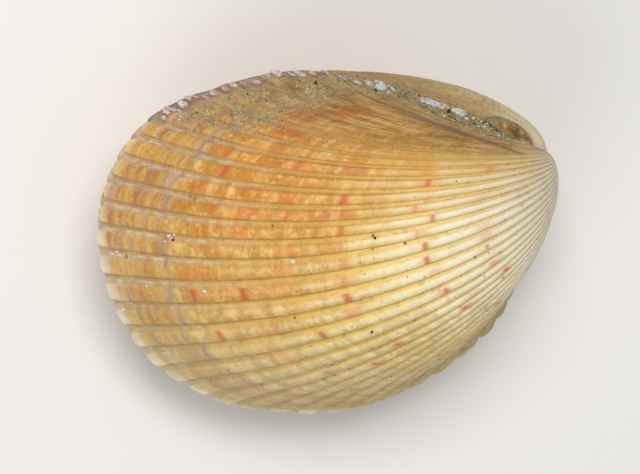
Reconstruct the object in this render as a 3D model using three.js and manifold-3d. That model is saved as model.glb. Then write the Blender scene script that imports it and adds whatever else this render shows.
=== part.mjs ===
import * as THREE from "three";
import { mergeVertices } from "three/addons/utils/BufferGeometryUtils.js";
import Module from "manifold-3d";

const wasm = await Module();
wasm.setup();
const { degToRad, lerp, smoothstep } = THREE.MathUtils;

// Driving dimensions, mm. The shell has a frame of its own: the beaks lie near the origin on the hinge
// axis X, +X runs to the posterior end, +Y to the ventral margin and +Z out of the right valve.

// The margin is one closed curve through these points, with two and a half ribs between each two, so
// they set how closely the ribs stand too. It starts at the beaks and runs round the posterior end.
const MARGIN = [
  [-0.2, 0.9], [7.8, 9.6], [15.2, 23.2], [15.1, 35.3],
  [12.7, 41.4], [7.7, 45.9], [1.2, 48.0], [-6.7, 47.6],
  [-13.7, 44.6], [-19.1, 39.2], [-22.3, 32.3], [-23.7, 24.6],
  [-22.2, 16.9], [-18.5, 9.9], [-14.1, 5.9], [-10.7, 2.6],
];
const RIB_PLACES = 40;
const RIBS = 37;
const FINE_RIBS = 8;

// A growth line is the margin turned about the hinge axis and shrunk, up to the beak where it ends.
const COIL = degToRad(164.3);
const SHRINK = [-0.75, 0.108, -0.262];
const TIP_ROUNDING = 5.45;
const BEAK = new THREE.Vector3(-0.35, -0.07, 0.62);
const BULGE = 0.85;
const GROWTH_ROWS = [0, 1.5, 4, 9, 15, 23, 32, 42, 53, 65, 78, 91, 105, 120, 137].map(degToRad);

const RIB_HEIGHT = 0.55;
const FINE_RIB_HEIGHT = 0.22;
const RIB_TOP = [0.3, 0.7];
const FIRST_GROOVE = 0.14;

// Past the seam each rib ends in a tooth, which stands between two teeth of the other valve.
const SEAM = 0.3;
const TOOTH = 0.42;
const TOOTH_REACH = 3;

// The hollow is the smooth form made smaller about a point inside.
const HOLLOW_SCALE = 0.935;
const HOLLOW_MIDDLE = new THREE.Vector3(-3, 28, 0);
const HOLLOW_ROWS = [0, 12, 26, 42, 60, 80, 100].map(degToRad);

// The ligament is a short bow over the seam, behind the beaks.
const LIGAMENT = { from: 0.3, to: 1.6, halfWidth: 1.3, rise: 1.3, sink: 0.45, rings: 9, sides: 10 };

// The closed shell lies on its left valve, with the beaks and the posterior end a little raised. The
// rib tops that carry it are worn down to one plane.
const BEAKS_UP = degToRad(7);
const POSTERIOR_UP = degToRad(10.8);
const WORN = 0.22;

const COLOURS = { right_valve: 0xe9bd7c, left_valve: 0xddb583, ligament: 0x6b4a1e };
const ROUGHNESS = { right_valve: 0.55, left_valve: 0.55, ligament: 0.4 };

const outline = new THREE.CatmullRomCurve3(
  MARGIN.map(([x, y]) => new THREE.Vector3(x, y, 0)), true, "catmullrom", 0.5);

function around(place) {
  return THREE.MathUtils.euclideanModulo(place, RIB_PLACES);
}

function edgeAt(place) {
  return outline.getPoint(around(place) / RIB_PLACES);
}

function shrinkAt(turn) {
  const [linear, square, cube] = SHRINK;
  const rounding = 1 - (turn / COIL) ** TIP_ROUNDING;
  return Math.exp(linear * turn + square * turn ** 2 + cube * turn ** 3) * rounding;
}

// The smooth form of a valve, at a place along the margin and a turn toward the beak.
function formAt(place, turn) {
  const edge = edgeAt(place);
  const size = shrinkAt(turn);
  return new THREE.Vector3(edge.x, edge.y * Math.cos(turn), BULGE * edge.y * Math.sin(turn))
    .multiplyScalar(size)
    .addScaledVector(BEAK, 1 - size);
}

function outwardAt(place, turn) {
  const step = 0.01;
  const along = formAt(place + step, turn).sub(formAt(place - step, turn));
  const inward = formAt(place, turn + step).sub(formAt(place, turn));
  return along.cross(inward).normalize();
}

// How high a rib stands at a place: it is low on the posterior slope and gone at the hinge.
function ribHeightAt(place) {
  const here = around(place);
  const height = lerp(FINE_RIB_HEIGHT, RIB_HEIGHT, smoothstep(here, FINE_RIBS - 3, FINE_RIBS + 1));
  return height * smoothstep(here, 0.3, 2) * (1 - smoothstep(here, RIBS - 3, RIBS));
}

function toothAt(place, phase) {
  const reach = smoothstep(edgeAt(place).y, 4, 16);
  return TOOTH * reach * Math.cos(2 * Math.PI * (place - phase));
}

// Closes a stack of rings of equal length with a point at each end, and returns it as a solid.
function solidOfRings(rings, firstEnd, lastEnd) {
  const count = rings[0].length;
  const points = [firstEnd, ...rings.flat(), lastEnd];
  const top = points.length - 1;
  const triangles = [];
  for (let i = 0; i < count; i++) {
    const next = (i + 1) % count;
    triangles.push(0, 1 + next, 1 + i, top, top - count + i, top - count + next);
    for (let j = 0; j < rings.length - 1; j++) {
      const low = 1 + j * count;
      const high = low + count;
      triangles.push(low + i, low + next, high + i, low + next, high + next, high + i);
    }
  }
  return new wasm.Manifold(new wasm.Mesh({
    numProp: 3,
    vertProperties: new Float32Array(points.flatMap((point) => point.toArray())),
    triVerts: new Uint32Array(triangles),
  }));
}

// The outside of a right valve whose ribs start at the phase, a part of one rib's pitch.
function outside(phase) {
  const places = [];
  for (let rib = 0; rib < RIB_PLACES; rib++) {
    places.push([rib + phase, 0], [rib + phase + RIB_TOP[0], 1], [rib + phase + RIB_TOP[1], 1]);
  }
  const rings = GROWTH_ROWS.map((turn) => places.map(([place, onRib]) => {
    const point = formAt(place, turn);
    const fade = Math.min(1, 1.3 * shrinkAt(turn));
    point.addScaledVector(outwardAt(place, turn), onRib * fade * ribHeightAt(place));
    const fromMargin = turn * edgeAt(place).y / TOOTH_REACH;
    point.z += (SEAM / 2 + toothAt(place, phase)) * Math.exp(-fromMargin * fromMargin);
    return point;
  }));
  const middle = HOLLOW_MIDDLE.clone().setZ(SEAM / 2);
  return solidOfRings(rings, middle, BEAK);
}

function hollow() {
  const shrunk = (point) => point.sub(HOLLOW_MIDDLE).multiplyScalar(HOLLOW_SCALE).add(HOLLOW_MIDDLE);
  const places = Array.from({ length: RIB_PLACES }, (_, i) => i);
  const rings = HOLLOW_ROWS.map((turn) => places.map((place) => shrunk(formAt(place, turn))));
  const below = rings[0].map((point) => point.clone().setZ(-2));
  const end = rings.at(-1).reduce((sum, point) => sum.add(point), new THREE.Vector3());
  end.divideScalar(places.length);
  return solidOfRings([below, ...rings], HOLLOW_MIDDLE.clone().setZ(-2), end);
}

// The ligament, grown by a clearance all round where it is the cutter of its seat.
function ligament(clearance = 0) {
  const { from, to, halfWidth, rise, sink, rings, sides } = LIGAMENT;
  const centre = (t) => {
    const place = lerp(from, to, t);
    const along = edgeAt(place + 0.01).sub(edgeAt(place - 0.01)).normalize();
    const out = new THREE.Vector3(along.y, -along.x, 0);
    return { point: edgeAt(place).addScaledVector(out, (rise - sink) / 2), along, out };
  };
  const sections = [];
  for (let k = 1; k <= rings; k++) {
    const t = k / (rings + 1);
    const { point, out } = centre(t);
    const fullness = Math.sqrt(Math.sin(Math.PI * t));
    const high = fullness * (rise + sink) / 2 + clearance;
    const wide = fullness * halfWidth + clearance;
    sections.push(Array.from({ length: sides }, (_, i) => {
      const angle = -2 * Math.PI * i / sides;
      return point.clone().addScaledVector(out, high * Math.cos(angle))
        .add(new THREE.Vector3(0, 0, wide * Math.sin(angle)));
    }));
  }
  const start = centre(0);
  const finish = centre(1);
  return solidOfRings(
    sections,
    start.point.addScaledVector(start.along, -clearance),
    finish.point.addScaledVector(finish.along, clearance));
}

function geometryOf(solid) {
  const { vertProperties, triVerts } = solid.getMesh();
  const geometry = new THREE.BufferGeometry();
  geometry.setAttribute("position", new THREE.BufferAttribute(vertProperties, 3));
  geometry.setIndex(new THREE.BufferAttribute(triVerts, 1));
  const merged = mergeVertices(geometry, 1e-3);
  merged.computeVertexNormals();
  return merged;
}

function piece(name, solid) {
  const material = new THREE.MeshStandardMaterial({
    color: COLOURS[name], roughness: ROUGHNESS[name], metalness: 0 });
  const mesh = new THREE.Mesh(geometryOf(solid), material);
  mesh.name = name;
  return mesh;
}

function valve(phase) {
  return outside(phase).subtract(hollow()).subtract(ligament(SEAM));
}

// Wears a solid down where it stands lowest, seen along the direction that points up from the ground.
function worn(solid, up) {
  const { vertProperties } = solid.getMesh();
  let lowest = Infinity;
  for (let i = 0; i < vertProperties.length; i += 3) {
    lowest = Math.min(lowest, new THREE.Vector3().fromArray(vertProperties, i).dot(up));
  }
  return solid.trimByPlane(up.toArray(), lowest + WORN);
}

// Lying down, the beaks point to +X and the posterior end to +Y, before the two small leans.
const lying = new THREE.Quaternion().setFromEuler(new THREE.Euler(POSTERIOR_UP, -BEAKS_UP, 0, "XYZ"))
  .multiply(new THREE.Quaternion().setFromEuler(new THREE.Euler(0, 0, Math.PI / 2)));
const up = new THREE.Vector3(0, 0, 1).applyQuaternion(lying.clone().invert());

// The left valve is the right one mirrored, with its ribs half a pitch on, so that the teeth mesh.
const shell = new THREE.Group();
shell.add(
  piece("right_valve", valve(FIRST_GROOVE)),
  piece("left_valve", worn(valve(FIRST_GROOVE + 0.5).mirror([0, 0, 1]), up)),
  piece("ligament", ligament()));
shell.quaternion.copy(lying);

// The frame's origin is under the middle of the lying shell.
const cockle = new THREE.Group();
cockle.add(shell);
cockle.updateMatrixWorld(true);
const box = new THREE.Box3().setFromObject(cockle, true);
const middle = box.getCenter(new THREE.Vector3());
shell.position.set(-middle.x, -middle.y, -box.min.z);

export default cockle;
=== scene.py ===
# %% [markdown]
# # A cockle shell, closed, with its grit still on it
# A cockle is two deep valves that meet at a toothed margin. Each valve grows by adding a thin line of
# shell along that margin, year after year, so every older line is the same curve, only smaller and
# turned a little further about the hinge. This lesson builds the valves by that rule, paints them in
# the same coordinates (which rib, and how old), and then adds the ligament, the silt and sand, beads
# and crusts, the lights and the camera.

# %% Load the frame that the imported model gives
import math

import bpy
import numpy as np
from mathutils import Matrix, Vector


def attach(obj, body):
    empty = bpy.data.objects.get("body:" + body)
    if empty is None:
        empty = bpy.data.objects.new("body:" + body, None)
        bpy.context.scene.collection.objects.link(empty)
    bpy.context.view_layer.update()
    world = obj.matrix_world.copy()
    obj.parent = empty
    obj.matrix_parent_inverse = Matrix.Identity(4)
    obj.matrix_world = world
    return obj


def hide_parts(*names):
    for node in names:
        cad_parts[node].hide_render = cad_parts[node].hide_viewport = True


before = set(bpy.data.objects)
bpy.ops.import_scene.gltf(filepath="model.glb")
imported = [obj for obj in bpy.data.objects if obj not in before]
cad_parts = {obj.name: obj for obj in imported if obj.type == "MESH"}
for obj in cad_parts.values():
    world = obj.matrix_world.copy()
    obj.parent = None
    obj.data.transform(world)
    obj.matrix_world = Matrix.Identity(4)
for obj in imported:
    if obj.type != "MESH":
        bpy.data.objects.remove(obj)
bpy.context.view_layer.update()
print("the frame's nodes:", sorted(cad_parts))

# %% [markdown]
# ## The growth rule
# The shell has a frame of its own, in millimetres: the beaks are near the origin on the hinge axis X,
# +X runs to the posterior end, +Y to the margin and +Z out of the right valve. A point on a valve is
# named by its place (0 to 40, one for each rib, with the hinge at 0) and by its size (1 on the
# margin, 0 at the beak). These are the same values that the solids are made from.

# %% Driving sizes, mm
MM = 0.001
MARGIN = np.array([
    (-0.2, 0.9), (7.8, 9.6), (15.2, 23.2), (15.1, 35.3),
    (12.7, 41.4), (7.7, 45.9), (1.2, 48.0), (-6.7, 47.6),
    (-13.7, 44.6), (-19.1, 39.2), (-22.3, 32.3), (-23.7, 24.6),
    (-22.2, 16.9), (-18.5, 9.9), (-14.1, 5.9), (-10.7, 2.6)])
RIB_PLACES = 40
RIBS = 37
FINE_RIBS = 8
COIL = math.radians(164.3)
SHRINK = (-0.75, 0.108, -0.262)
TIP_ROUNDING = 5.45
BEAK = np.array((-0.35, -0.07, 0.62))
BULGE = 0.85
RIB_HEIGHT = 0.55
FINE_RIB_HEIGHT = 0.22
SEAM = 0.3
TOOTH = 0.42
TOOTH_REACH = 3
FIRST_GROOVE = 0.14
HOLLOW_SCALE = 0.935
HOLLOW_MIDDLE = np.array((-3, 28, 0))
BEAKS_UP = math.radians(7)
POSTERIOR_UP = math.radians(10.8)
HINGE_AT = Vector((23.46, 3.38, 18.06))

# %% The margin, and every older growth line
def edge_at(place):
    step = np.mod(place, RIB_PLACES) / RIB_PLACES * len(MARGIN)
    first = np.floor(step).astype(int)
    t = (step - first)[..., None]
    before, start, end, after = (MARGIN[(first + k) % len(MARGIN)] for k in (-1, 0, 1, 2))
    leave, arrive = (end - before) / 2, (after - start) / 2
    bend = 3 * (end - start) - 2 * leave - arrive
    ease = 2 * (start - end) + leave + arrive
    return start + leave * t + bend * t ** 2 + ease * t ** 3


def size_at(turn):
    linear, square, cube = SHRINK
    rounding = 1 - (turn / COIL) ** TIP_ROUNDING
    return np.exp(linear * turn + square * turn ** 2 + cube * turn ** 3) * rounding


TURNS = np.linspace(COIL, 0, 4000)
SIZES = size_at(TURNS)


def turn_at(size):
    return np.interp(size, SIZES, TURNS)


def form_at(place, turn):
    edge, size = edge_at(place), size_at(turn)[..., None]
    x, y = edge[..., 0], edge[..., 1]
    ring = np.stack([x, y * np.cos(turn), BULGE * y * np.sin(turn)], -1)
    return ring * size + BEAK * (1 - size)


def outward_at(place, turn):
    step = 0.01
    along = form_at(place + step, turn) - form_at(place - step, turn)
    turn = np.minimum(turn, COIL - 2 * step)
    inward = form_at(place, turn + step) - form_at(place, turn)
    normal = np.cross(along, inward)
    return normal / np.maximum(np.linalg.norm(normal, axis=-1, keepdims=True), 1e-9)


print("the margin is", np.ptp(edge_at(np.linspace(0, 40, 200)), axis=0).round(1), "mm long and high")

# %% [markdown]
# ## The relief
# On the real shell the ribs are flat bands with steep sides and floors nearly as wide between them.
# Growth lines cross them: faint in the young shell, and close, rough and coloured near the margin,
# past a shallow line where growth stopped for a winter. Behind the high ribs lies the slope, whose
# ribs are fine and low. All of this stands a few tenths of a millimetre high, so it is made in the
# mesh. Smooth noise keeps the lines from looking ruled.

# %% Noise and soft steps
dice = np.random.default_rng(7)
LATTICE = dice.random((64, 64))


def soft_step(low, high, value):
    t = np.clip((value - low) / (high - low), 0, 1)
    return t * t * (3 - 2 * t)


def noise(x, y):
    """Smooth noise from 0 to 1, which repeats after 64 steps each way."""
    i, j = np.floor(x).astype(int), np.floor(y).astype(int)
    u, v = soft_step(0, 1, x - i), soft_step(0, 1, y - j)
    corner = lambda a, b: LATTICE[(i + a) % 64, (j + b) % 64]
    near = corner(0, 0) * (1 - u) + corner(1, 0) * u
    far = corner(0, 1) * (1 - u) + corner(1, 1) * u
    return near * (1 - v) + far * v


# %% Ribs, from their flat crowns to the floors between them
RIB_EDGE, RIB_FOOT = 0.28, 0.36


def rib_at(place, size):
    """1 on the crown of a rib and 0 on the floor beside it, for ribs centred between whole places."""
    across = np.abs(np.mod(place, 1) - 0.5)
    flat = (1 - 0.15 * (across / RIB_EDGE) ** 2) * soft_step(RIB_FOOT, RIB_EDGE - 0.02, across)
    rounded = np.sqrt(np.clip(1 - (across / (RIB_FOOT + 0.06)) ** 2, 0, 1))
    ribs = flat + (rounded - flat) * soft_step(0.6, 0.95, size) * 0.8
    return np.maximum(ribs, 0.1 * np.clip(across - RIB_FOOT, 0, 1) / (0.5 - RIB_FOOT))


def rib_height_at(place, size):
    here = np.mod(place, RIB_PLACES)
    fine = FINE_RIB_HEIGHT * soft_step(0.35, 0.8, size)
    height = fine + (RIB_HEIGHT - fine) * soft_step(FINE_RIBS - 3, FINE_RIBS + 1, here)
    return height * soft_step(0.3, 2, here) * (1 - soft_step(RIBS - 3, RIBS, here)) * size ** 1.2


# %% Growth lines and the winter line
WINTER = 0.885


def winter_at(place):
    """The size at which the winter line runs, which bows a little on every rib."""
    return WINTER + 0.014 * (noise(place * 0.45, place * 0) - 0.5) + 0.0025 * np.cos(2 * math.pi * place)


def relief_at(place, size):
    """How far the skin stands out of the smooth form, mm, with ribs between whole places."""
    ribs = rib_height_at(place, size) * rib_at(place, size)
    on_slope = soft_step(8.5, 6, place) * soft_step(0.2, 0.5, size)
    striae = 0.09 * (noise(place * 4, size * 3) - 0.5) + 0.05 * np.cos(4 * math.pi * place)
    bow = 0.006 * np.cos(2 * math.pi * place)
    wander = bow + 0.004 * noise(place * 0.8, size * 6)
    crown = 0.35 + 0.65 * rib_at(place, size)
    coarse = noise((size + wander) * 75, place * 0.9) - 0.5
    lines = noise((size + wander) * 160, place * 0.6) + 0.6 * noise((size + wander) * 330, place * 0.8) - 0.8
    old = soft_step(WINTER - 0.1, WINTER + 0.03, size)
    lines = lines * (0.02 + 0.035 * soft_step(0.5, 0.9, size) + 0.04 * old) + coarse * 0.16 * old
    winter = -0.05 * np.exp(-((size - winter_at(place)) / 0.007) ** 2)
    dents = 0.16 * (noise(place * 0.7, size * 14) - 0.5) * size
    return ribs + striae * on_slope + lines * crown + winter + dents


# %% The ends of the ribs, at the margin
def lobe_at(which, place, size, from_margin):
    """How much further out a rib's end stands, mm. On the ventral side the left valve's stand lower."""
    across = np.mod(place, 1) - 0.5
    ventral = soft_step(13, 18, place) * (1 - soft_step(33, 36, place))
    high = soft_step(8, 9, place) * (1 - soft_step(14, 18, place))
    knob = 0.16 * high * np.exp(-(across / 0.2) ** 2) * np.exp(-((from_margin - 0.3) / 0.45) ** 2)
    near = np.exp(-(from_margin / 1.2) ** 2) * rib_height_at(place, size) * rib_at(place, size)
    return knob + near * ventral * (0.45 if which == "right" else -0.7)


def tooth_at(place):
    edge_y = edge_at(place)[..., 1]
    return TOOTH * soft_step(4, 16, edge_y) * np.cos(2 * math.pi * place)


# %% [markdown]
# ## From a place and a size to a point of the frame
# The right valve's ribs start a little past each whole place and the left valve's half a pitch
# further on, so the teeth of one margin fit between those of the other. The left valve is the same
# form mirrored through the seam. Then the whole shell is laid down as the solids are: beaks to +X, a
# little raised. The rib tops that it rests on are worn down to the ground, which is at zero height.

# %% The two valves and how they lie
VALVES = {"right": {"phase": FIRST_GROOVE, "side": 1}, "left": {"phase": FIRST_GROOVE + 0.5, "side": -1}}
LYING = (Matrix.Rotation(POSTERIOR_UP, 3, "X") @ Matrix.Rotation(-BEAKS_UP, 3, "Y")
         @ Matrix.Rotation(math.pi / 2, 3, "Z"))


def to_frame(points, side=1):
    """Points of the shell's own frame, mm, as points of the model's frame, m."""
    turned = (points * (1, 1, side)) @ np.array(LYING).T
    return (turned + np.array(HINGE_AT)) * MM


def skin_at(which, place, size, lift=0.0):
    """Points on a valve's skin, lifted off it by some millimetres."""
    phase, side = VALVES[which]["phase"], VALVES[which]["side"]
    turn = turn_at(size)
    edge_y = edge_at(place)[..., 1]
    from_margin = turn * edge_y
    relief = relief_at(place - phase, size) + lobe_at(which, place - phase, size, from_margin)
    points = form_at(place, turn) + outward_at(place, turn) * (relief + lift)[..., None]
    rise = SEAM / 2 + tooth_at(place - phase)
    points[..., 2] += rise * np.exp(-(from_margin / TOOTH_REACH) ** 2)
    points = to_frame(points, side)
    points[..., 2] = np.maximum(points[..., 2], 0)
    return points


# %% [markdown]
# ## The valves
# Each valve is one sheet: it starts in the middle of the hollow, lines the inside, turns over the
# toothed lip and runs up the outside to the beak. So it starts as a flat grid of squares, one strip
# of columns for each rib, and every vertex is then moved to its place on the shell. The columns
# stand closer at the sides of the ribs, which keeps those steep. Merging the vertices that meet
# closes the sheet at the hinge and at both ends. The short red bars follow single ribs, so each
# vertex is also given how strongly a bar, and the wider blush round it, marks the skin there.

# %% Columns across each rib, and rows from the hollow to the beak
COLUMN_STEPS = (0, 0.12, 0.19, 0.25, 0.33, 0.5, 0.67, 0.75, 0.81, 0.88)
COLUMNS = [rib + step for rib in range(RIB_PLACES) for step in COLUMN_STEPS] + [RIB_PLACES]
HOLLOW_TURNS = np.radians((100, 80, 60, 42, 26, 12, 0))
OUTER_ROWS = 225


def hollow_points(place):
    rows = []
    for turn in HOLLOW_TURNS:
        points = form_at(place, np.full(place.shape, turn))
        rows.append((points - HOLLOW_MIDDLE) * HOLLOW_SCALE + HOLLOW_MIDDLE)
    rows[0][:] = rows[0].mean(axis=0)
    rows[-1][:, 2] += SEAM / 2
    return rows


# %% The red bars that cross single ribs: the rib's number, the size at which it crosses, its strength
BARS = [
    (10, 0.821, 1.0), (11, 0.623, 1.0), (9, 0.719, 0.7), (9, 0.836, 0.6), (10, 0.491, 1.0),
    (15, 0.489, 0.9), (16, 0.491, 0.9), (17, 0.382, 0.6), (19, 0.482, 0.8), (17, 0.625, 1.0),
    (16, 0.769, 1.0), (16, 0.847, 0.9), (18, 0.836, 0.8), (19, 0.690, 0.8), (13, 0.473, 0.8),
    (12, 0.505, 0.5), (14, 0.500, 0.5), (13, 0.618, 0.8), (8, 0.716, 0.6), (12, 0.700, 0.7)]
BAR_LINES = (0.38, 0.49, 0.62, 0.70, 0.77, 0.84)


def bars_at(which, place, size):
    """How strongly narrow red bars and a wider blush mark the skin, each from 0 to 1."""
    chance = np.random.default_rng({"right": 21, "left": 22}[which])
    bars = list(BARS) if which == "right" else []
    blushes = [(rib, line, strength * 0.5) for rib, line, strength in bars]
    for rib in range(8, 36):
        for line in BAR_LINES:
            strength, drift = chance.uniform(0, 1), chance.normal(0, 0.008)
            blushes.append((rib, line + drift, strength * soft_step(0.3, 0.9, strength)))
            if strength > 0.65 and (which == "left" or rib > 20):
                bars.append((rib, line + drift, strength - 0.2))
    amounts = []
    for marks, reach in ((bars, 0.0058), (blushes, 0.016)):
        amount = np.zeros(place.shape)
        for rib, line, strength in marks:
            along = np.exp(-((size - line) / reach) ** 2)
            beside = soft_step(0.55, 0.3, np.abs(place - VALVES[which]["phase"] - rib - 0.5))
            amount = np.maximum(amount, strength * along * beside)
        amounts.append(amount)
    return amounts


# %% One valve, from a flat grid
MERGE = 0.001 * MM


def make_valve(which):
    phase, side = VALVES[which]["phase"], VALVES[which]["side"]
    inner_rows, columns = len(HOLLOW_TURNS), len(COLUMNS)
    rows = inner_rows + OUTER_ROWS
    bpy.ops.object.select_all(action="DESELECT")
    bpy.ops.mesh.primitive_grid_add(x_subdivisions=columns - 1, y_subdivisions=rows - 1, size=1)
    valve = bpy.context.object
    valve.name = valve.data.name = which + "_valve_shell"
    mesh = valve.data
    flat = np.empty(len(mesh.vertices) * 3)
    mesh.vertices.foreach_get("co", flat)
    flat = flat.reshape(-1, 3)
    column = np.rint((flat[:, 0] + 0.5) * (columns - 1)).astype(int)
    row = np.rint((flat[:, 1] + 0.5) * (rows - 1)).astype(int)

    place = np.array(COLUMNS) + phase
    size = np.linspace(1, 0, OUTER_ROWS)
    grid = [to_frame(points, side) for points in hollow_points(place)]
    grid += [skin_at(which, place, np.full(place.shape, s)) for s in size]
    points = np.array(grid)
    points[:, -1] = points[:, 0]
    mesh.vertices.foreach_set("co", points[row, column].ravel())

    # The map holds a point's place, counted from the first rib, and its size, above 1 on the inside.
    sizes = np.concatenate([1 + 0.1 * np.arange(inner_rows, 0, -1), size])
    corner = np.empty(len(mesh.loops), int)
    mesh.loops.foreach_get("vertex_index", corner)
    chart = np.stack([np.array(COLUMNS)[column] / RIB_PLACES, sizes[row]], -1)
    mesh.uv_layers[0].data.foreach_set("uv", chart[corner].ravel())
    for name, amount in zip(("bars", "blush"), bars_at(which, place[column], sizes[row])):
        mesh.attributes.new(name, "FLOAT", "POINT").data.foreach_set("value", amount)

    bpy.ops.object.mode_set(mode="EDIT")
    bpy.ops.mesh.select_all(action="SELECT")
    bpy.ops.mesh.remove_doubles(threshold=MERGE)
    bpy.ops.mesh.normals_make_consistent(inside=False)
    bpy.ops.object.mode_set(mode="OBJECT")
    bpy.ops.object.shade_smooth_by_angle(angle=math.radians(75))
    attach(valve, "root")
    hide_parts(which + "_valve")
    print(valve.name, len(mesh.polygons), "faces")
    return valve


right_valve = make_valve("right")
left_valve = make_valve("left")

# %% [markdown]
# ## A small tool for finishes
# A finish is a web of nodes. One class adds a node with its settings and its inputs, and another
# wraps a number, so that Python's own signs write the sums. Everything that follows reads like the
# sentence that it means: rib top times age, one minus a mask, and so on.

# %% Numbers and nodes
class Number:
    """A number in a finish, on which Python's signs work."""

    def __init__(self, finish, socket):
        self.finish, self.socket = finish, socket

    def math(self, operation, *others, first=None):
        values = [self, *others] if first is None else [first, self]
        node = self.finish.node("Math", {"operation": operation}, dict(enumerate(values)))
        return Number(self.finish, node.outputs[0])

    def __add__(self, other):
        return self.math("ADD", other)

    def __sub__(self, other):
        return self.math("SUBTRACT", other)

    def __mul__(self, other):
        return self.math("MULTIPLY", other)

    def __rsub__(self, other):
        return self.math("SUBTRACT", first=other)

    def __rtruediv__(self, other):
        return self.math("DIVIDE", first=other)

    __radd__, __rmul__ = __add__, __mul__

    def ramp(self, low, high):
        """A soft step from 0 at low to 1 at high."""
        settings = {"interpolation_type": "SMOOTHSTEP"}
        node = self.finish.node("MapRange", settings, {"Value": self, "From Min": low, "From Max": high})
        return Number(self.finish, node.outputs["Result"])

    def ridge(self, middle, half_width):
        """1 at the middle, falling softly to 0 at half a width on each side."""
        return 1 - (self - middle).math("ABSOLUTE").ramp(0, half_width)


class Finish:
    """A material that is written as one page of nodes."""

    def __init__(self, name):
        self.material = bpy.data.materials.new(name)
        self.material.use_nodes = True
        self.tree = self.material.node_tree
        self.tree.nodes.clear()

    def node(self, kind, settings=None, inputs=None):
        node = self.tree.nodes.new("ShaderNode" + kind)
        for key, value in (settings or {}).items():
            setattr(node, key, value)
        for key, value in (inputs or {}).items():
            value = getattr(value, "socket", value)
            if isinstance(value, bpy.types.NodeSocket):
                self.tree.links.new(value, node.inputs[key])
            else:
                node.inputs[key].default_value = value
        return node

    def chart(self):
        """The place and the size that the valve's own map holds."""
        parts = self.node("SeparateXYZ", None, {0: self.node("UVMap").outputs[0]})
        return Number(self, parts.outputs[0]) * RIB_PLACES, Number(self, parts.outputs[1])

    def attribute(self, name):
        return Number(self, self.node("Attribute", {"attribute_name": name}).outputs["Fac"])

    def cell(self, *parts):
        """A vector from up to three numbers, to read noise at."""
        return self.node("CombineXYZ", None, dict(enumerate(parts))).outputs[0]

    def noise(self, where, scale=1.0, detail=2.0, roughness=0.5):
        inputs = {"Vector": where, "Scale": scale, "Detail": detail, "Roughness": roughness}
        return Number(self, self.node("TexNoise", None, inputs).outputs["Fac"])

    def here(self):
        """A point of the piece in millimetres."""
        settings = {"operation": "SCALE"}
        point = self.node("TexCoord").outputs["Object"]
        return self.node("VectorMath", settings, {0: point, "Scale": 1 / MM}).outputs[0]

    def mix(self, amount, below, above):
        """One colour laid over another by an amount from 0 to 1."""
        settings = {"data_type": "RGBA", "clamp_factor": True}
        return self.node("Mix", settings, {0: amount, 6: below, 7: above}).outputs[2]

    def along(self, amount, stops):
        """A ramp of colours, each stop a position and a web code."""
        node = self.node("ValToRGB", None, {0: amount})
        elements = node.color_ramp.elements
        while len(elements) < len(stops):
            elements.new(0.5)
        for element, (position, code) in zip(elements, stops):
            element.position, element.color = position, paint(code)
        return node.outputs[0]

    def surface(self, colour, roughness, height, depth, **sockets):
        """Ends the page: a shader with a bump whose height goes from 0 to 1 over some millimetres."""
        bump = self.node("Bump", None, {"Height": height, "Distance": depth * MM, "Strength": 1.0})
        inputs = {"Base Color": colour, "Roughness": roughness, "Normal": bump.outputs[0]}
        inputs.update({key.replace("_", " "): value for key, value in sockets.items()})
        shader = self.node("BsdfPrincipled", None, inputs)
        self.node("OutputMaterial", None, {0: shader.outputs[0]})
        return self.material


def paint(code):
    """A colour from its web code, as the linear values that a shader takes."""
    parts = [int(code[i:i + 2], 16) / 255 for i in (1, 3, 5)]
    return tuple(c / 12.92 if c < 0.04 else ((c + 0.055) / 1.055) ** 2.4 for c in parts) + (1.0,)


# %% [markdown]
# ## How a valve is coloured
# The young shell at the beak is cream. Older growth turns yellow, and golden orange on the posterior
# ribs, in patches that follow single ribs. So a finish starts from ramps of colour along the size,
# one for the ribs and one for the floors between them. Every other mark is laid over the colour so
# far, by a mask that is written in places and sizes. The cells below lay them down one by one.

# %% Ramps of colour along the size
PLAIN_RIB = ((0.15, "#D8CFBA"), (0.35, "#ECE5CC"), (0.5, "#EAE0B6"), (0.6, "#E0D086"), (0.7, "#D6BE62"),
             (0.8, "#C8A84C"), (0.9, "#B29854"), (0.97, "#B2A074"))
PLAIN_FLOOR = ((0.15, "#C6BC9C"), (0.35, "#DECC98"), (0.5, "#EACE86"), (0.6, "#E4C676"), (0.7, "#DCB862"),
               (0.8, "#D2AA5C"), (0.9, "#B4965A"), (0.97, "#A28E60"))
GOLDEN_RIB = ((0.15, "#CEC2A0"), (0.35, "#D6B068"), (0.5, "#CC9A38"), (0.6, "#C08014"), (0.7, "#C27E0E"),
              (0.8, "#C47C0E"), (0.87, "#B2761E"), (0.95, "#A27436"))
GOLDEN_FLOOR = ((0.15, "#C8BC96"), (0.35, "#D2AA54"), (0.5, "#CC9C3A"), (0.6, "#C68E2A"), (0.7, "#C09040"),
                (0.8, "#BE8E4E"), (0.87, "#B08856"), (0.95, "#A48664"))
SLOPE = ((0.15, "#B8AD8C"), (0.3, "#98804A"), (0.42, "#8A6424"), (0.6, "#A0722E"), (0.75, "#A87A38"),
         (0.86, "#987238"), (0.93, "#887248"), (0.98, "#84705A"))
FAR_SLOPE = ((0.15, "#D2CAA8"), (0.4, "#C8B688"), (0.6, "#B89A66"), (0.8, "#A47E4C"), (0.92, "#987C5A"),
             (0.98, "#A89C8A"))


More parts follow.
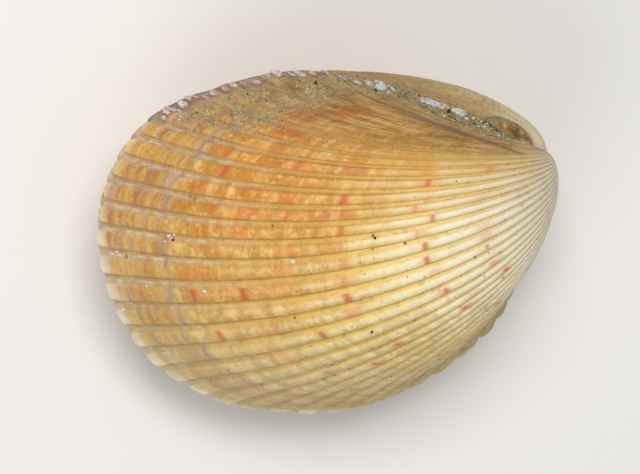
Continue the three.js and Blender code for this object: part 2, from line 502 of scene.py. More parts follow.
# %% The page that a valve's marks are written on
class Skin(Finish):
    """A finish for one valve, with the values that its marks share and the colour so far."""

    def __init__(self, name, seed):
        super().__init__(name)
        self.seed = seed
        self.place, self.size = self.chart()
        self.rib = self.place.math("FLOOR")
        self.on_rib = self.place - self.rib
        self.across = (self.on_rib - 0.5).math("ABSOLUTE")
        self.top = 1 - self.across.ramp(RIB_EDGE - 0.04, RIB_FOOT)
        self.spot = self.here()
        self.cloud = self.noise(self.spot, 0.16, 3.0)
        self.fine = self.noise(self.spot, 3.5, 3.0, 0.65)
        self.grainy = self.noise(self.spot, 9.0, 2.0, 0.6)
        self.blotch = self.noise(self.cell(self.place * 2.2, self.size * 95, seed + 3), 1.0, 2.0, 0.6)

    def along_rib(self, length, shift):
        """Noise whose patches are so many millimetres long on a rib, and differ from rib to rib."""
        ragged = self.size + (self.fine - 0.5) * 0.02
        return self.noise(self.cell(self.rib * 3.7 + shift, ragged * (50 / length), self.seed), 1.0, 2.0)

    def lay(self, amount, colour):
        """Lays a colour, given as a web code or a link, over the colour so far."""
        above = paint(colour) if isinstance(colour, str) else colour
        self.colour = self.mix(amount, self.colour, above)


# %% [markdown]
# ### Ribs and floors
# How golden a rib is depends on its place, with a border that noise makes ragged. The ribs get deep
# orange and yellow patches, a painted highlight along the crown and browner painted shade on the far
# side, and the older part is finely mottled. The floors keep their own ramps, and are seen where the rib
# top's mask is 0.

# %% Painting the ribs and floors
def paint_ribs(skin):
    place, size, on_rib, blotch = skin.place, skin.size, skin.on_rib, skin.blotch
    paler = (1 - size.ramp(0.45, 0.72)) * 4.5
    golden = place.ramp(4, 6.5) * (1 - (place + paler).ramp(12.5, 20)) * 0.9
    golden = golden + (skin.along_rib(9, 0.0) - 0.5) * 0.9 + (skin.cloud - 0.5) * 0.6
    floors = skin.mix(golden, skin.along(size, PLAIN_FLOOR), skin.along(size, GOLDEN_FLOOR))
    skin.colour = skin.mix(golden, skin.along(size, PLAIN_RIB), skin.along(size, GOLDEN_RIB))

    grown = size.ramp(0.53, 0.62) * (1 - size.ramp(WINTER - 0.03, WINTER))
    deep = skin.along_rib(3.5, 40.0).ramp(0.5, 0.68) * golden.ramp(0.3, 0.9) * grown
    skin.lay(deep * 0.85, "#C05E12")
    yellow = skin.along_rib(2.6, 80.0).ramp(0.52, 0.66) * size.ramp(0.5, 0.6)
    skin.lay(yellow * (0.5 - 0.2 * golden.ramp(0.2, 0.9)), "#E4BC60")
    # Painted highlight: a pale stripe along the upper part of each rib's crown, where the light falls.
    crown_highlight = on_rib.ridge(0.4, 0.22) * size.ramp(0.25, 0.4) * (1 - size.ramp(0.66, 0.92))
    skin.lay(crown_highlight * (1 - golden.ramp(0.2, 0.8) * 0.8) * 0.5, "#F6EFDC")
    # Painted shade: each rib's far side, toward its front foot, is laid browner, as if turned from the light.
    skin.lay(on_rib.ramp(0.52, 0.8) * 0.4, "#C89A4C")
    older = size.ramp(0.45, 0.7)
    skin.lay(blotch.ramp(0.48, 0.68) * older * 0.5, "#EBCB7C")
    skin.lay(blotch.ramp(0.5, 0.34) * older * 0.45, "#B26C1C")
    skin.lay(skin.attribute("blush") * 0.65, "#D0782C")
    skin.colour = skin.mix(skin.top, floors, skin.colour)


# %% [markdown]
# ### The old margin
# Past the winter line short bands of yellow, pink and lilac cross each rib. A pale stripe follows
# the near foot of the high ribs, the ventral ribs are cream, and every rib ends in a whitish rim. The
# slope's margin is a purplish grey, darker between the beads. Faint rings cross the whole skin.

# %% Painting the old margin
OLD_BANDS = ((0.38, "#A86A50"), (0.43, "#BC8E48"), (0.47, "#CFA95E"), (0.51, "#C08432"), (0.55, "#CDA65E"),
             (0.59, "#B26A3A"), (0.65, "#B29888"))


def paint_old_margin(skin):
    place, size, top, fine = skin.place, skin.size, skin.top, skin.fine
    last = size.ramp(WINTER - 0.004, WINTER + 0.008)
    bands = skin.noise(skin.cell(skin.rib * 0.9 + skin.seed, size * 46 + fine * 0.9, 3.0), 1.0, 2.0, 0.5)
    banded = skin.mix(place.ramp(14, 20) * 0.35, skin.along(bands, OLD_BANDS), skin.along(size, PLAIN_RIB))
    skin.lay(last * (0.15 + 0.6 * top), banded)
    pale = skin.on_rib.ridge(0.07, 0.22) * size.ramp(0.68, 0.86) * place.ramp(6, 9)
    pale = pale * (1 - place.ramp(15, 20)) * (0.1 + 0.6 * skin.noise(skin.spot, 0.9, 3.0).ramp(0.38, 0.62))
    skin.lay(pale, "#D2BCA4")
    ventral = place.ramp(16.5, 23) * size.ramp(0.58, 0.8) * (0.28 + 0.32 * top) * (1 - last * 0.4)
    skin.lay(ventral, "#D6CC9C")
    rim = size.ramp(0.97 + 0.012 * (1 - place.ramp(13, 16)), 0.997)
    rim = rim * (1 - skin.across.ramp(0.2, 0.42) * 0.8)
    skin.lay(rim * (0.35 + 0.45 * place.ramp(12, 16)), "#E2DAC6")
    on_slope = 1 - place.ramp(8.5, 9.5)
    skin.lay(size.ramp(0.945, 0.975) * on_slope * (0.25 + 0.5 * fine), "#8E6E6A")
    skin.lay(size.ramp(0.975, 0.99) * on_slope * 0.6, "#6A4650")
    rings = skin.noise(skin.cell(skin.rib * 0.7, size * 60 + fine * 0.6, skin.seed + 5), 1.0, 1.5, 0.6)
    skin.lay(rings.ramp(0.54, 0.7) * size.ramp(0.4, 0.8) * 0.35, "#A8783C")
    skin.lay(rings.ramp(0.48, 0.3) * size.ramp(0.3, 0.6) * 0.22, "#EFD898")


# %% Painting the red bars
def paint_bars(skin):
    bars = skin.attribute("bars") * skin.top * (0.5 + 0.9 * skin.fine)
    red = skin.mix(skin.size.ramp(0.45, 0.75), paint("#CC5C24"), paint("#B4501C"))
    skin.lay(bars.ramp(0.06, 0.85) * 0.8, red)


# %% [markdown]
# ### The slope
# The slope behind the last high rib is tan, with brown and pale streaks along its fine ribs and
# rusty patches at its border. A dark line runs down it from the beak. Beyond that line, toward the
# seam, a film of silt dulls the skin. How streaky a valve is, from 0 to 1, scales the streaks, the
# line and the film, because the left valve is plainer where it can be seen.

# %% Painting the slope
def dark_line_at(size):
    """The place of the slope's dark line, at a size."""
    return 2.9 + 1.15 / size


def paint_slope(skin, slope_colours, streaky):
    place, size, blotch = skin.place, skin.size, skin.blotch
    skin.slope = 1 - (place + (skin.cloud - 0.5) * 1.6).ramp(5.6, 8.4)
    skin.streaks = skin.noise(skin.cell(place * 6, size * 11, skin.seed + 1), 1.0, 4.0, 0.7)
    ribbed, skin.colour = skin.colour, skin.along(size, slope_colours)
    skin.lay(skin.streaks.ramp(0.5, 0.38) * (0.75 * streaky), "#5E3A1C")
    skin.lay(blotch.ramp(0.53, 0.64) * 0.25, "#CFB078")
    skin.lay(blotch.ramp(0.47, 0.36) * 0.3, "#8E5C28")
    rusty = skin.along_rib(4, 20.0).ramp(0.48, 0.62) * place.ramp(3.6, 5.5)
    skin.lay(rusty * size.ramp(0.22, 0.4) * (1 - size.ramp(0.85, 0.9)) * 0.6, "#A04E1A")
    skin.lay(skin.streaks.ramp(0.5, 0.62) * (0.65 * streaky), "#C8A66C")
    skin.colour = skin.mix(skin.slope * 0.92, ribbed, skin.colour)

    line_at = dark_line_at(size)
    line = (place + (skin.fine - 0.5) * 0.2).ridge(line_at, 0.42)
    line = line * size.ramp(0.24, 0.34) * (1 - size.ramp(0.7, 0.9))
    skin.lay(line * (0.75 * streaky), "#5E4638")
    beyond = (1 - place.ramp(line_at - 1.1, line_at - 0.05)) * size.ramp(0.29, 0.42)
    skin.silty = beyond * streaky * skin.noise(skin.spot, 0.5, 3.0).ramp(0.25, 0.6)


# %% [markdown]
# ### The winter line, grooves and dirt
# The winter line is a thin brown edge in a soft greyish halo, broken up by noise. The foot of each
# rib is darkened by painted shade mixed with dirt, most at its front foot; dirt also lies in dark dots near
# the beak, and in the corner of the slope at the margin.
# Dust lies on the floors more than on the ribs. Last come specks, and a fine grain over all of it.

# %% Painting the winter line
def paint_winter_line(skin):
    wander = skin.noise(skin.cell(skin.place * 0.5, 2.0, skin.seed), 1.0, 1.0)
    winter_line = wander * 0.01 + (WINTER - 0.005) - skin.across * skin.across * 0.012
    away = (skin.size - winter_line).math("ABSOLUTE")
    patchy = skin.noise(skin.spot, 0.45, 3.0).ramp(0.38, 0.62)
    skin.lay((1 - away.ramp(0.001, 0.018)) * 0.55 * patchy, "#B49A8E")
    skin.lay((1 - away.ramp(0.0, 0.005)) * (0.05 + 0.4 * patchy), "#6B5A38")


# %% Painting the grooves' shade and dirt, and the dust
def paint_grooves(skin):
    front_foot = skin.on_rib.ridge(0.5 + RIB_FOOT, 0.06)
    back_foot = skin.on_rib.ridge(0.5 - RIB_FOOT, 0.05)
    groove_patchiness = 0.45 + 0.55 * skin.noise(skin.spot, 0.7, 3.0).ramp(0.4, 0.6)
    # The darkening at each rib's feet is painted shade mixed with dirt, strongest at the front foot.
    groove_shade_and_dirt = (front_foot + back_foot * 0.25) * groove_patchiness * (1 - skin.slope * 0.5)
    skin.lay(groove_shade_and_dirt * 0.8, skin.mix(skin.size.ramp(0.5, 0.7), paint("#A08B4C"), paint("#96672F")))
    dots = skin.noise(skin.spot, 1.8, 2.0).ramp(0.5, 0.58) * front_foot * (1 - skin.size.ramp(0.3, 0.45))
    skin.lay(dots * 0.8, "#54452A")
    skin.dust = skin.noise(skin.spot, 0.55, 4.0, 0.7).ramp(0.52, 0.68) * (1 - skin.top * 0.7)
    skin.lay(skin.dust * 0.45, "#A08A58")


# %% Painting the dirt and the film of silt
SILT_FILM = ((0.36, "#3E3622"), (0.46, "#7A6C46"), (0.54, "#9A8C62"), (0.64, "#C2B48C"))


def paint_dirt(skin):
    place, size = skin.place, skin.size
    corner = place.ramp(9.5, 7.0) * size.ramp(0.8, 0.88) * (1 - size.ramp(0.955, 0.985))
    skin.dirty = corner * skin.noise(skin.spot, 0.35, 3.0).ramp(0.38, 0.55)
    crumbly = (skin.grainy * 0.5 + skin.fine * 0.5).ramp(0.38, 0.6)
    skin.lay(skin.dirty * 0.72, skin.mix(crumbly, paint("#7A6A44"), paint("#BCAA7C")))
    skin.gritty = skin.noise(skin.spot, 1.6, 4.0, 0.7)
    skin.lay(skin.silty * 0.85, skin.along(skin.gritty, SILT_FILM))
    skin.lay(skin.noise(skin.spot, 2.6, 1.0).ramp(0.735, 0.77) * 0.8, "#4E3F26")


# %% Painting the fine grain, the plain inside and the scales of the ventral ribs
def paint_grain(skin):
    mottle = skin.fine * 0.5 + skin.grainy * 0.5
    skin.lay(mottle.ramp(0.5, 0.36) * 0.22, "#9A6420")
    skin.lay(mottle.ramp(0.5, 0.66) * 0.16, "#EEDCA6")
    skin.lay(skin.size.ramp(1.0, 1.05), "#EDE6D8")
    edges = skin.noise(skin.cell(skin.place * 0.5, skin.size * 62, skin.seed + 9), 1.0, 1.0)
    skin.scales = edges.ramp(0.35, 0.65)
    skin.scaly = skin.place.ramp(17, 22) * skin.size.ramp(0.3, 0.55)
    skin.lay((1 - skin.scales) * skin.scaly * 0.3, "#A08A54")


# %% [markdown]
# ### All marks together
# The marks are laid in this order, so that dirt lies over the colours and grain over the dirt. The
# bump is made of the same noises as the colours, so what looks like grit or a line also stands up.
# The shell is satin where it is clean and duller on the slope and in the dirt.

# %% The two valves' finishes
def valve_finish(name, seed, slope_colours, streaky):
    skin = Skin(name, seed)
    paint_ribs(skin)
    paint_old_margin(skin)
    paint_bars(skin)
    paint_slope(skin, slope_colours, streaky)
    paint_winter_line(skin)
    paint_grooves(skin)
    paint_dirt(skin)
    paint_grain(skin)

    fine, grainy = skin.fine, skin.grainy
    lines = skin.noise(skin.cell(skin.place * 0.8, skin.size * 380, 2.0), 1.0, 2.0)
    lines = lines * (0.2 + 0.35 * skin.size.ramp(0.5, 0.9))
    height = fine * 0.4 + grainy * 0.15 + lines + skin.streaks * 0.35 * skin.slope
    height = height + skin.dirty * grainy * 1.2 + skin.silty * skin.gritty * 2.5
    height = height + skin.scales * skin.scaly * 1.1
    roughness = 0.4 + (fine - 0.5) * 0.3 + skin.slope * 0.2 + skin.dust * 0.15 + skin.dirty * 0.25
    return skin.surface(skin.colour, roughness, height, 0.06, IOR=1.36)


def dress(piece, material):
    piece.data.materials.clear()
    piece.data.materials.append(material)
    print(piece.name, "wears", material.name)


dress(right_valve, valve_finish("right_valve_finish", 0.5, SLOPE, 1.0))
dress(left_valve, valve_finish("left_valve_finish", 7.5, FAR_SLOPE, 0.45))

# %% [markdown]
# ## The ligament
# Behind the beaks a short half-moon of horn springs over the seam, and holds the valves together. Its
# crown is grey and finely ridged across, and the side that faces the right valve is worn down to the
# amber inside. A dark line of painted shadow runs along one side of the crown. It starts as a flat
# grid that is rolled up round the seam, one edge to the other. The silt below starts from such a grid
# too, so one function makes both.

# %% A sheet that starts as a grid of squares
def make_sheet(name, across, along, place_of, angle=60):
    """A mesh whose points, from 0 to 1 both ways, are moved to where the function puts them."""
    bpy.ops.object.select_all(action="DESELECT")
    bpy.ops.mesh.primitive_grid_add(x_subdivisions=across, y_subdivisions=along, size=1)
    sheet = bpy.context.object
    sheet.name = sheet.data.name = name
    flat = np.empty(len(sheet.data.vertices) * 3)
    sheet.data.vertices.foreach_get("co", flat)
    u, v = flat.reshape(-1, 3)[:, :2].T + 0.5
    sheet.data.vertices.foreach_set("co", place_of(u, v).ravel())
    bpy.ops.object.mode_set(mode="EDIT")
    bpy.ops.mesh.select_all(action="SELECT")
    bpy.ops.mesh.remove_doubles(threshold=MERGE)
    bpy.ops.mesh.normals_make_consistent(inside=False)
    bpy.ops.object.mode_set(mode="OBJECT")
    bpy.ops.object.shade_smooth_by_angle(angle=math.radians(angle))
    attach(sheet, "root")
    print(name, len(sheet.data.polygons), "faces")
    return sheet


# %% The bow of horn
LIGAMENT = {"from": 0.3, "to": 1.6, "half_width": 1.55, "rise": 1.6, "sink": 0.45}


def on_seam(place):
    """A point of the seam and the way out from it, both in its plane."""
    along = edge_at(place + 0.01) - edge_at(place - 0.01)
    along /= np.linalg.norm(along, axis=-1, keepdims=True)
    return edge_at(place), np.stack([along[:, 1], -along[:, 0]], -1)


def bow_point(u, v):
    angle = u * 2 * math.pi
    point, out = on_seam(LIGAMENT["from"] + (LIGAMENT["to"] - LIGAMENT["from"]) * v)
    fullness = np.sqrt(np.sin(math.pi * v).clip(0))
    crown = np.cos(angle).clip(0)
    ridges = 1 + 0.012 * crown * np.sin(v * 90 + 2 * noise(angle * 2, v * 6))
    ridges *= 1 + 0.08 * (noise(angle * 3, v * 12) - 0.5)
    facing = np.exp(-((np.mod(angle, 2 * math.pi) - 0.95) / 0.45) ** 2)
    ridges *= 1 - 0.3 * facing * np.sin(math.pi * v)
    high = fullness * (LIGAMENT["rise"] + LIGAMENT["sink"]) / 2 * ridges
    middle = point + out * ((LIGAMENT["rise"] - LIGAMENT["sink"]) / 2)
    beside = fullness * LIGAMENT["half_width"] * ridges * np.sin(angle)
    return to_frame(np.concatenate([middle + out * (high * np.cos(angle))[:, None], beside[:, None]], -1))


def horn_finish():
    finish = Finish("ligament_horn")
    parts = finish.node("SeparateXYZ", None, {0: finish.node("UVMap").outputs[0]})
    turn, along = Number(finish, parts.outputs[0]), Number(finish, parts.outputs[1])
    fibre = finish.noise(finish.cell(turn * 8, along * 60, 0.0), 1.0, 3.0, 0.6)
    cloud = finish.noise(finish.here(), 0.8, 3.0)
    worn = turn.ridge(0.16, 0.15) * along.ridge(0.5, 0.6)
    colour = finish.along(fibre, ((0.3, "#5E5236"), (0.5, "#857656"), (0.7, "#9C8E6C")))
    amber = finish.along(cloud, ((0.35, "#6B4A12"), (0.5, "#94702A"), (0.62, "#B9A568")))
    colour = finish.mix(worn.ramp(0.15, 0.5), colour, amber)
    # Painted shadow: a dark line along one side of the bow's crown, where it meets the left valve.
    edge = turn.ridge(0.96, 0.06)
    colour = finish.mix(edge * 0.9, colour, paint("#1E1A12"))
    return finish.surface(colour, 0.5 - worn * 0.2, fibre, 0.06)


ligament = make_sheet("ligament_bow", 64, 60, bow_point)
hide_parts("ligament")
dress(ligament, horn_finish())

# %% [markdown]
# ## Silt and sand
# Behind the ligament the seam lies in a valley, and fine silt has settled in it. It is a lumpy strip
# between the two skins. Crumbs and grains of sand lie on it, along the dark line, on the dirty corner
# of the slope, and in ones and twos elsewhere. A grain is a small rough pebble of few faces, modelled
# once. Every copy is squashed, turned and set down on the skin, and all are joined into one mesh.

# %% The bed of silt
SILT = {"from": 1.3, "to": 5.2, "right_size": 0.885, "left_size": 0.93}


def silt_point(u, v):
    place = SILT["from"] + (SILT["to"] - SILT["from"]) * v
    fade = soft_step(0, 0.08, v) * soft_step(1, 0.5, v)
    ragged = 0.03 * (noise(v * 40, v * 0 + 3.5) - 0.5)
    near = skin_at("right", place, 1 - (1 - SILT["right_size"] + ragged) * (0.2 + 0.8 * fade), -0.15)
    far = skin_at("left", place, 1 - (1 - SILT["left_size"] - ragged) * (0.2 + 0.8 * fade), -0.15)
    point, out = on_seam(place)
    seam = to_frame(np.concatenate([point, np.zeros((len(point), 1))], -1))
    outwards = to_frame(np.concatenate([out, np.zeros((len(out), 1))], -1)) - to_frame(np.zeros((1, 3)))
    belly = 4 * u * (1 - u)
    points = near * (1 - u)[:, None] + far * u[:, None]
    points += (seam - points) * (0.16 * belly)[:, None]
    lumps = noise(u * 7, v * 42) + 0.6 * noise(u * 15, v * 90 + 7) + 0.3 * noise(u * 30, v * 180 + 3)
    return points + outwards * ((0.12 + 0.42 * (lumps - 0.6)) * belly ** 0.5 * fade)[:, None]


def silt_finish():
    finish = Finish("silt")
    here = finish.here()
    fine, grainy = finish.noise(here, 2.2, 3.0, 0.6), finish.noise(here, 7.0, 2.0, 0.6)
    silts = ((0.36, "#4E442A"), (0.47, "#7E7048"), (0.56, "#9C8E62"), (0.66, "#BCB08A"))
    colour = finish.along(fine * 0.5 + grainy * 0.5, silts)
    pale = finish.noise(here, 0.7, 2.0).ramp(0.52, 0.68)
    colour = finish.mix(pale * 0.7, colour, paint("#A9A89C"))
    return finish.surface(colour, 0.8, fine * 0.5 + grainy, 0.12)


silt = make_sheet("silt_bed", 30, 260, silt_point)
dress(silt, silt_finish())


# %% One grain: a small ball with its corners cut off
def grain_shape():
    bpy.ops.object.select_all(action="DESELECT")
    bpy.ops.mesh.primitive_ico_sphere_add(subdivisions=1, radius=1)
    grain = bpy.context.object
    bpy.ops.object.mode_set(mode="EDIT")
    bpy.ops.mesh.select_all(action="SELECT")
    bpy.ops.mesh.bevel(offset=0.25, offset_type="OFFSET", segments=1)
    bpy.ops.object.mode_set(mode="OBJECT")
    points = np.array([v.co for v in grain.data.vertices])
    faces = [tuple(face.vertices) for face in grain.data.polygons]
    bpy.data.objects.remove(grain)
    return points, faces


GRAIN_POINTS, GRAIN_FACES = grain_shape()
print("a grain has", len(GRAIN_FACES), "faces")

# %% What the grains are made of, as tones from 0 to 1, and how often each comes
QUARTZ, AMBER, BLACK, TAN, BROWN, BUFF, PALE = 0.97, 0.56, 0.03, 0.35, 0.25, 0.45, 0.8
TONES = (QUARTZ, AMBER, BLACK, TAN, BROWN, BUFF)
SHARES = (0.08, 0.05, 0.05, 0.3, 0.26, 0.26)

# %% The grains that stand out on the right valve: place, size, radius in mm and tone
LANDMARK_GRAINS = (
    (14.10, 0.875, 0.32, QUARTZ), (14.25, 0.868, 0.26, BLACK), (14.0, 0.866, 0.22, QUARTZ),
    (14.35, 0.880, 0.2, QUARTZ), (15.2, 0.964, 0.36, PALE), (15.25, 0.952, 0.3, TAN),
    (15.1, 0.97, 0.24, PALE), (16.3, 0.924, 0.22, PALE), (16.4, 0.826, 0.32, QUARTZ),
    (14.2, 0.569, 0.2, 0.2), (14.35, 0.566, 0.16, BLACK), (15.1, 0.52, 0.2, BROWN),
    (20.4, 0.625, 0.2, BLACK), (21.0, 0.56, 0.18, 0.2), (18.2, 0.712, 0.2, 0.2),
    (19.9, 0.662, 0.16, 0.2), (17.9, 0.41, 0.14, BLACK), (15.2, 0.688, 0.34, QUARTZ),
    (17.3, 0.985, 0.26, PALE), (12.2, 0.847, 0.28, TAN), (12.3, 0.84, 0.24, PALE),
    (12.15, 0.855, 0.24, TAN), (7.9, 0.891, 0.5, AMBER), (2.7, 0.9, 0.3, BLACK))

# %% How many of the others lie where
SILT_GRAINS, LINE_GRAINS, CRUMBS = 555, 690, 34
# Each patch: the number of grains, the valve, the places, the sizes and the usual radius in mm
PATCHES = (
    (120, "left", (1.4, 4.6), (0.9, 0.96), 0.11),
    (155, "right", (4.6, 8.8), (0.86, 0.965), 0.1),
    (80, "right", (9.0, 24.0), (0.4, 0.99), 0.09))


# %% Setting them all down
def choose_grains(chance):
    """The centre, the radius in mm and the tone of each grain."""
    grains = []

    def any_tone():
        return chance.choice(TONES, p=SHARES)

    def about(radius):
        return radius * chance.lognormal(0, 0.35)

    def set_down(which, place, size, radius, tone):
        centre = skin_at(which, np.array(place), np.array(size), radius * 0.35)
        grains.append((centre, radius, tone))

    for grain in LANDMARK_GRAINS:
        set_down("right", *grain)
    for _ in range(SILT_GRAINS):
        u, v = chance.uniform(0.03, 0.97), chance.beta(1, 1.3)
        grains.append((silt_point(np.array([u]), np.array([v]))[0], about(0.14), any_tone()))
    for _ in range(LINE_GRAINS):
        size = chance.uniform(0.42, 0.95)
        set_down("right", chance.uniform(1.2, dark_line_at(size) - 0.8), size, about(0.11), any_tone())
    for count, which, places, sizes, radius in PATCHES:
        for _ in range(count):
            size = sizes[1] - abs(chance.normal(0, (sizes[1] - sizes[0]) / 2))
            set_down(which, chance.uniform(*places), max(size, 0.1), about(radius), any_tone())
    for _ in range(CRUMBS):
        place, size, radius = chance.uniform(4.8, 8.8), chance.uniform(0.84, 0.95), chance.uniform(0.13, 0.25)
        set_down("right", place, size, radius, TAN)
    return grains


def make_sand():
    chance = np.random.default_rng(5)
    grains = choose_grains(chance)
    points, faces, tones = [], [], []
    for centre, radius, tone in grains:
        turn = Matrix.Rotation(chance.uniform(0, 6), 3, chance.normal(size=3).tolist())
        shape = GRAIN_POINTS * chance.uniform(0.6, 1.2, 3) * (1 + chance.normal(0, 0.1, GRAIN_POINTS.shape))
        first = len(points) * len(GRAIN_POINTS)
        points.append(centre + shape @ np.array(turn).T * radius * MM)
        faces += [tuple(i + first for i in face) for face in GRAIN_FACES]
        tones += [tone] * len(GRAIN_POINTS)
    mesh = bpy.data.meshes.new("sand")
    mesh.from_pydata(np.concatenate(points).tolist(), [], faces)
    mesh.attributes.new("tone", "FLOAT", "POINT").data.foreach_set("value", tones)
    sand = bpy.data.objects.new("sand", mesh)
    bpy.context.scene.collection.objects.link(sand)
    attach(sand, "root")
    print(len(grains), "grains,", len(faces), "faces")
    return sand


def sand_finish():
    finish = Finish("sand_grains")
    fine = finish.noise(finish.here(), 6.0, 2.0)
    stones = ((0.0, "#1E1A15"), (0.1, "#2E271D"), (0.2, "#74643E"), (0.46, "#A8946A"),
              (0.54, "#C98D45"), (0.62, "#B7A37C"), (0.9, "#DCD4BE"))
    colour = finish.along(finish.attribute("tone") + (fine - 0.5) * 0.1, stones)
    return finish.surface(colour, 0.35 + fine * 0.3, fine, 0.03)


sand = make_sand()
dress(sand, sand_finish())

# %% [markdown]
# ## Beads along the slope's margin
# The fine ribs of the slope end in small pale beads, closer together than the high ribs. Each is a
# round lump sunk in the margin of the right valve, longer the way that the shell grew. So a ball is
# stretched along the growth direction there, roughened with noise, and all are joined into one piece.

# %% The beads
BEADS = {"from": 2.3, "to": 8.9, "apart": 0.235, "long": 0.56, "wide": 0.41}


def join_pieces(name, pieces):
    bpy.ops.object.select_all(action="DESELECT")
    for piece in pieces:
        piece.select_set(True)
    joined = pieces[0]
    bpy.context.view_layer.objects.active = joined
    bpy.ops.object.join()
    joined.name = joined.data.name = name
    print(name, len(joined.data.polygons), "faces")
    return joined


def make_beads():
    chance = np.random.default_rng(11)
    beads = []
    for place in np.arange(BEADS["from"], BEADS["to"], BEADS["apart"]):
        place += chance.normal(0, 0.03)
        size = 0.992 + chance.normal(0, 0.003)
        centre, older, beside = (Vector(skin_at("right", np.array(p), np.array(s), 0.05))
                                 for p, s in ((place, size), (place, size - 0.02), (place + 0.1, size)))
        along, across = (older - centre).normalized(), (beside - centre).normalized()
        bpy.ops.object.select_all(action="DESELECT")
        bpy.ops.mesh.primitive_ico_sphere_add(subdivisions=3, radius=1)
        bead = bpy.context.object
        big = chance.uniform(0.65, 1.25)
        axes = along * BEADS["long"], across * BEADS["wide"], along.cross(across) * BEADS["wide"]
        stretch = Matrix(axes).transposed()
        for vertex in bead.data.vertices:
            x, y, _ = vertex.co
            rough = 0.8 + 0.4 * float(noise(np.array(x * 2 + place * 9), np.array(y * 2 + 5)))
            vertex.co = centre + (stretch @ vertex.co) * big * rough * MM
        beads.append(bead)
    joined = join_pieces("margin_beads", beads)
    bpy.ops.object.shade_smooth()
    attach(joined, "root")
    return joined


def bead_finish():
    finish = Finish("bead")
    here = finish.here()
    fine, cloud = finish.noise(here, 3.0, 3.0, 0.6), finish.noise(here, 0.5, 2.0)
    colour = finish.along(fine, ((0.36, "#8E7874"), (0.48, "#B8AAAA"), (0.6, "#D2C8CC")))
    colour = finish.mix(cloud.ramp(0.5, 0.62) * 0.6, colour, paint("#A2907C"))
    return finish.surface(colour, 0.5, fine, 0.05)


beads = make_beads()
dress(beads, bead_finish())

# %% [markdown]
# ## White crusts
# Three white lumps with a bluish cast lie in the silt, like bits of a worn-down tube that a worm
# built. Each starts as a ball, is stretched along the seam, and is roughened with two noises.

# %% The crusts: each one's place across and along the silt, its length and its height in mm
CRUSTS = ((0.42, 2.87, 1.5, 0.6), (0.3, 2.42, 0.9, 0.5), (0.45, 3.9, 0.7, 0.4))


def make_crusts():
    lumps = []
    for across, place, length, height in CRUSTS:
        v = (place - SILT["from"]) / (SILT["to"] - SILT["from"])
        centre, ahead = silt_point(np.array([across, across]), np.array([v, v + 0.05])) / MM
        along = Vector(ahead - centre).normalized()
        out = (LYING @ Vector(outward_at(np.array(place), np.array(0.02)))).normalized()
        beside = along.cross(out).normalized()
        bpy.ops.object.select_all(action="DESELECT")
        bpy.ops.mesh.primitive_ico_sphere_add(subdivisions=5, radius=1)
        lump = bpy.context.object
        for vertex in lump.data.vertices:
            x, y, z = vertex.co
            rough = float(noise(np.array(x * 3 + place * 9), np.array(y * 3 + z * 3 + 9)))
            rough += 0.4 * float(noise(np.array(x * 8 + 3), np.array(y * 8 - z * 8 + 30)))
            grown = 0.8 + 0.28 * rough
            spot = Vector(centre) + along * x * length * grown
            spot += beside * y * height * 1.1 * grown + out * z * height * grown
            vertex.co = spot * MM
        lumps.append(lump)
    joined = join_pieces("white_crusts", lumps)
    bpy.ops.object.shade_smooth_by_angle(angle=math.radians(60))
    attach(joined, "root")
    return joined


def crust_finish():
    finish = Finish("white_crust")
    here = finish.here()
    fine = finish.noise(here, 3.0, 3.0, 0.6)
    colour = finish.along(fine, ((0.36, "#9C988A"), (0.46, "#B9BAB4"), (0.6, "#CCD0D4")))
    return finish.surface(colour, 0.5, fine, 0.05)


crusts = make_crusts()
dress(crusts, crust_finish())

# %% [markdown]
# ## Floor, light and camera
# The shell lies on a plain pale floor. A soft light stands close to the camera's own side, a little
# above it, a wider one fills the shade from the lower left, and a pale room surrounds them. The
# photograph looks down on the right valve, so the camera is given by its angles to that valve and
# then turned with the shell.

# %% The floor
FLOOR_SIZE = 4

bpy.ops.object.select_all(action="DESELECT")
bpy.ops.mesh.primitive_plane_add(size=FLOOR_SIZE)
floor = bpy.context.object
floor.name = "floor"
finish = Finish("floor_paper")
grain = finish.noise(finish.here(), 0.4, 3.0)
floor.data.materials.append(finish.surface(paint("#E4E2DE"), 0.8, grain, 0.01))

# %% The camera, from the angles to the right valve
CAMERA_LEAN = math.radians(22.6)
CAMERA_TURN = math.radians(7.2)
CAMERA_ROLL = math.radians(10.0)
CAMERA_AWAY = 420
PIXELS_PER_MM = 9.3
PHOTO_SIZE = (640, 474)
HINGE_PIXEL = (541.9, 155.7)
SENSOR = 36

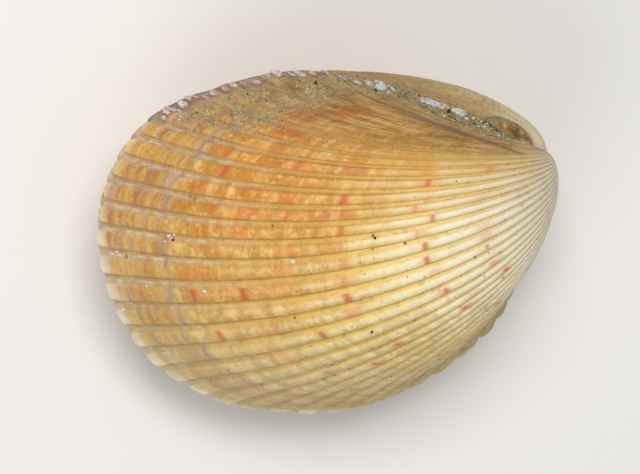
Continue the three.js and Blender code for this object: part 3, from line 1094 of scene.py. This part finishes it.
facing = Matrix(((0, -1, 0), (1, 0, 0), (0, 0, 1)))
to_camera = (Matrix.Rotation(CAMERA_ROLL, 3, "Z") @ Matrix.Rotation(CAMERA_LEAN, 3, "X")
             @ Matrix.Rotation(CAMERA_TURN, 3, "Y") @ facing @ LYING.transposed())
right, up, back = to_camera
eye = (HINGE_AT + back * CAMERA_AWAY) * MM
aim_right = (PHOTO_SIZE[0] / 2 - HINGE_PIXEL[0]) / PIXELS_PER_MM
aim_up = (HINGE_PIXEL[1] - PHOTO_SIZE[1] / 2) / PIXELS_PER_MM
aim = (HINGE_AT + right * aim_right + up * aim_up) * MM
look = (eye - aim).normalized()
side = up.cross(look).normalized()
camera_data = bpy.data.cameras.new("camera")
camera_data.lens = SENSOR * PIXELS_PER_MM * (eye - aim).length / MM / PHOTO_SIZE[0]
camera_data.sensor_width = SENSOR
camera = bpy.data.objects.new("camera", camera_data)
camera.matrix_world = Matrix.Translation(eye) @ Matrix((side, look.cross(side), look)).transposed().to_4x4()
bpy.context.scene.collection.objects.link(camera)
bpy.context.scene.camera = camera
print("the camera is", round((eye - aim).length, 3), "m away, with a lens of", round(camera_data.lens), "mm")


# %% Lights
def add_light(name, towards, distance, size, power):
    """A square lamp, whose direction is given as right, up and back of the camera."""
    data = bpy.data.lights.new(name, "AREA")
    data.size, data.energy = size, power
    light = bpy.data.objects.new(name, data)
    direction = (right * towards[0] + up * towards[1] + back * towards[2]).normalized()
    light.location = direction * distance
    light.rotation_euler = direction.to_track_quat("Z", "Y").to_euler()
    bpy.context.scene.collection.objects.link(light)


add_light("key", towards=(0.12, 0.28, 0.95), distance=0.5, size=0.2, power=1.62)
add_light("fill", towards=(-0.4, -0.7, 0.8), distance=0.6, size=0.4, power=1.3)
ROOM_STRENGTH = 0.35
world = bpy.data.worlds.new("room")
world.use_nodes = True
room = world.node_tree.nodes["Background"]
room.inputs["Color"].default_value = (1, 1, 1, 1)
room.inputs["Strength"].default_value = ROOM_STRENGTH
bpy.context.scene.world = world
bpy.context.scene.view_settings.view_transform = "Standard"
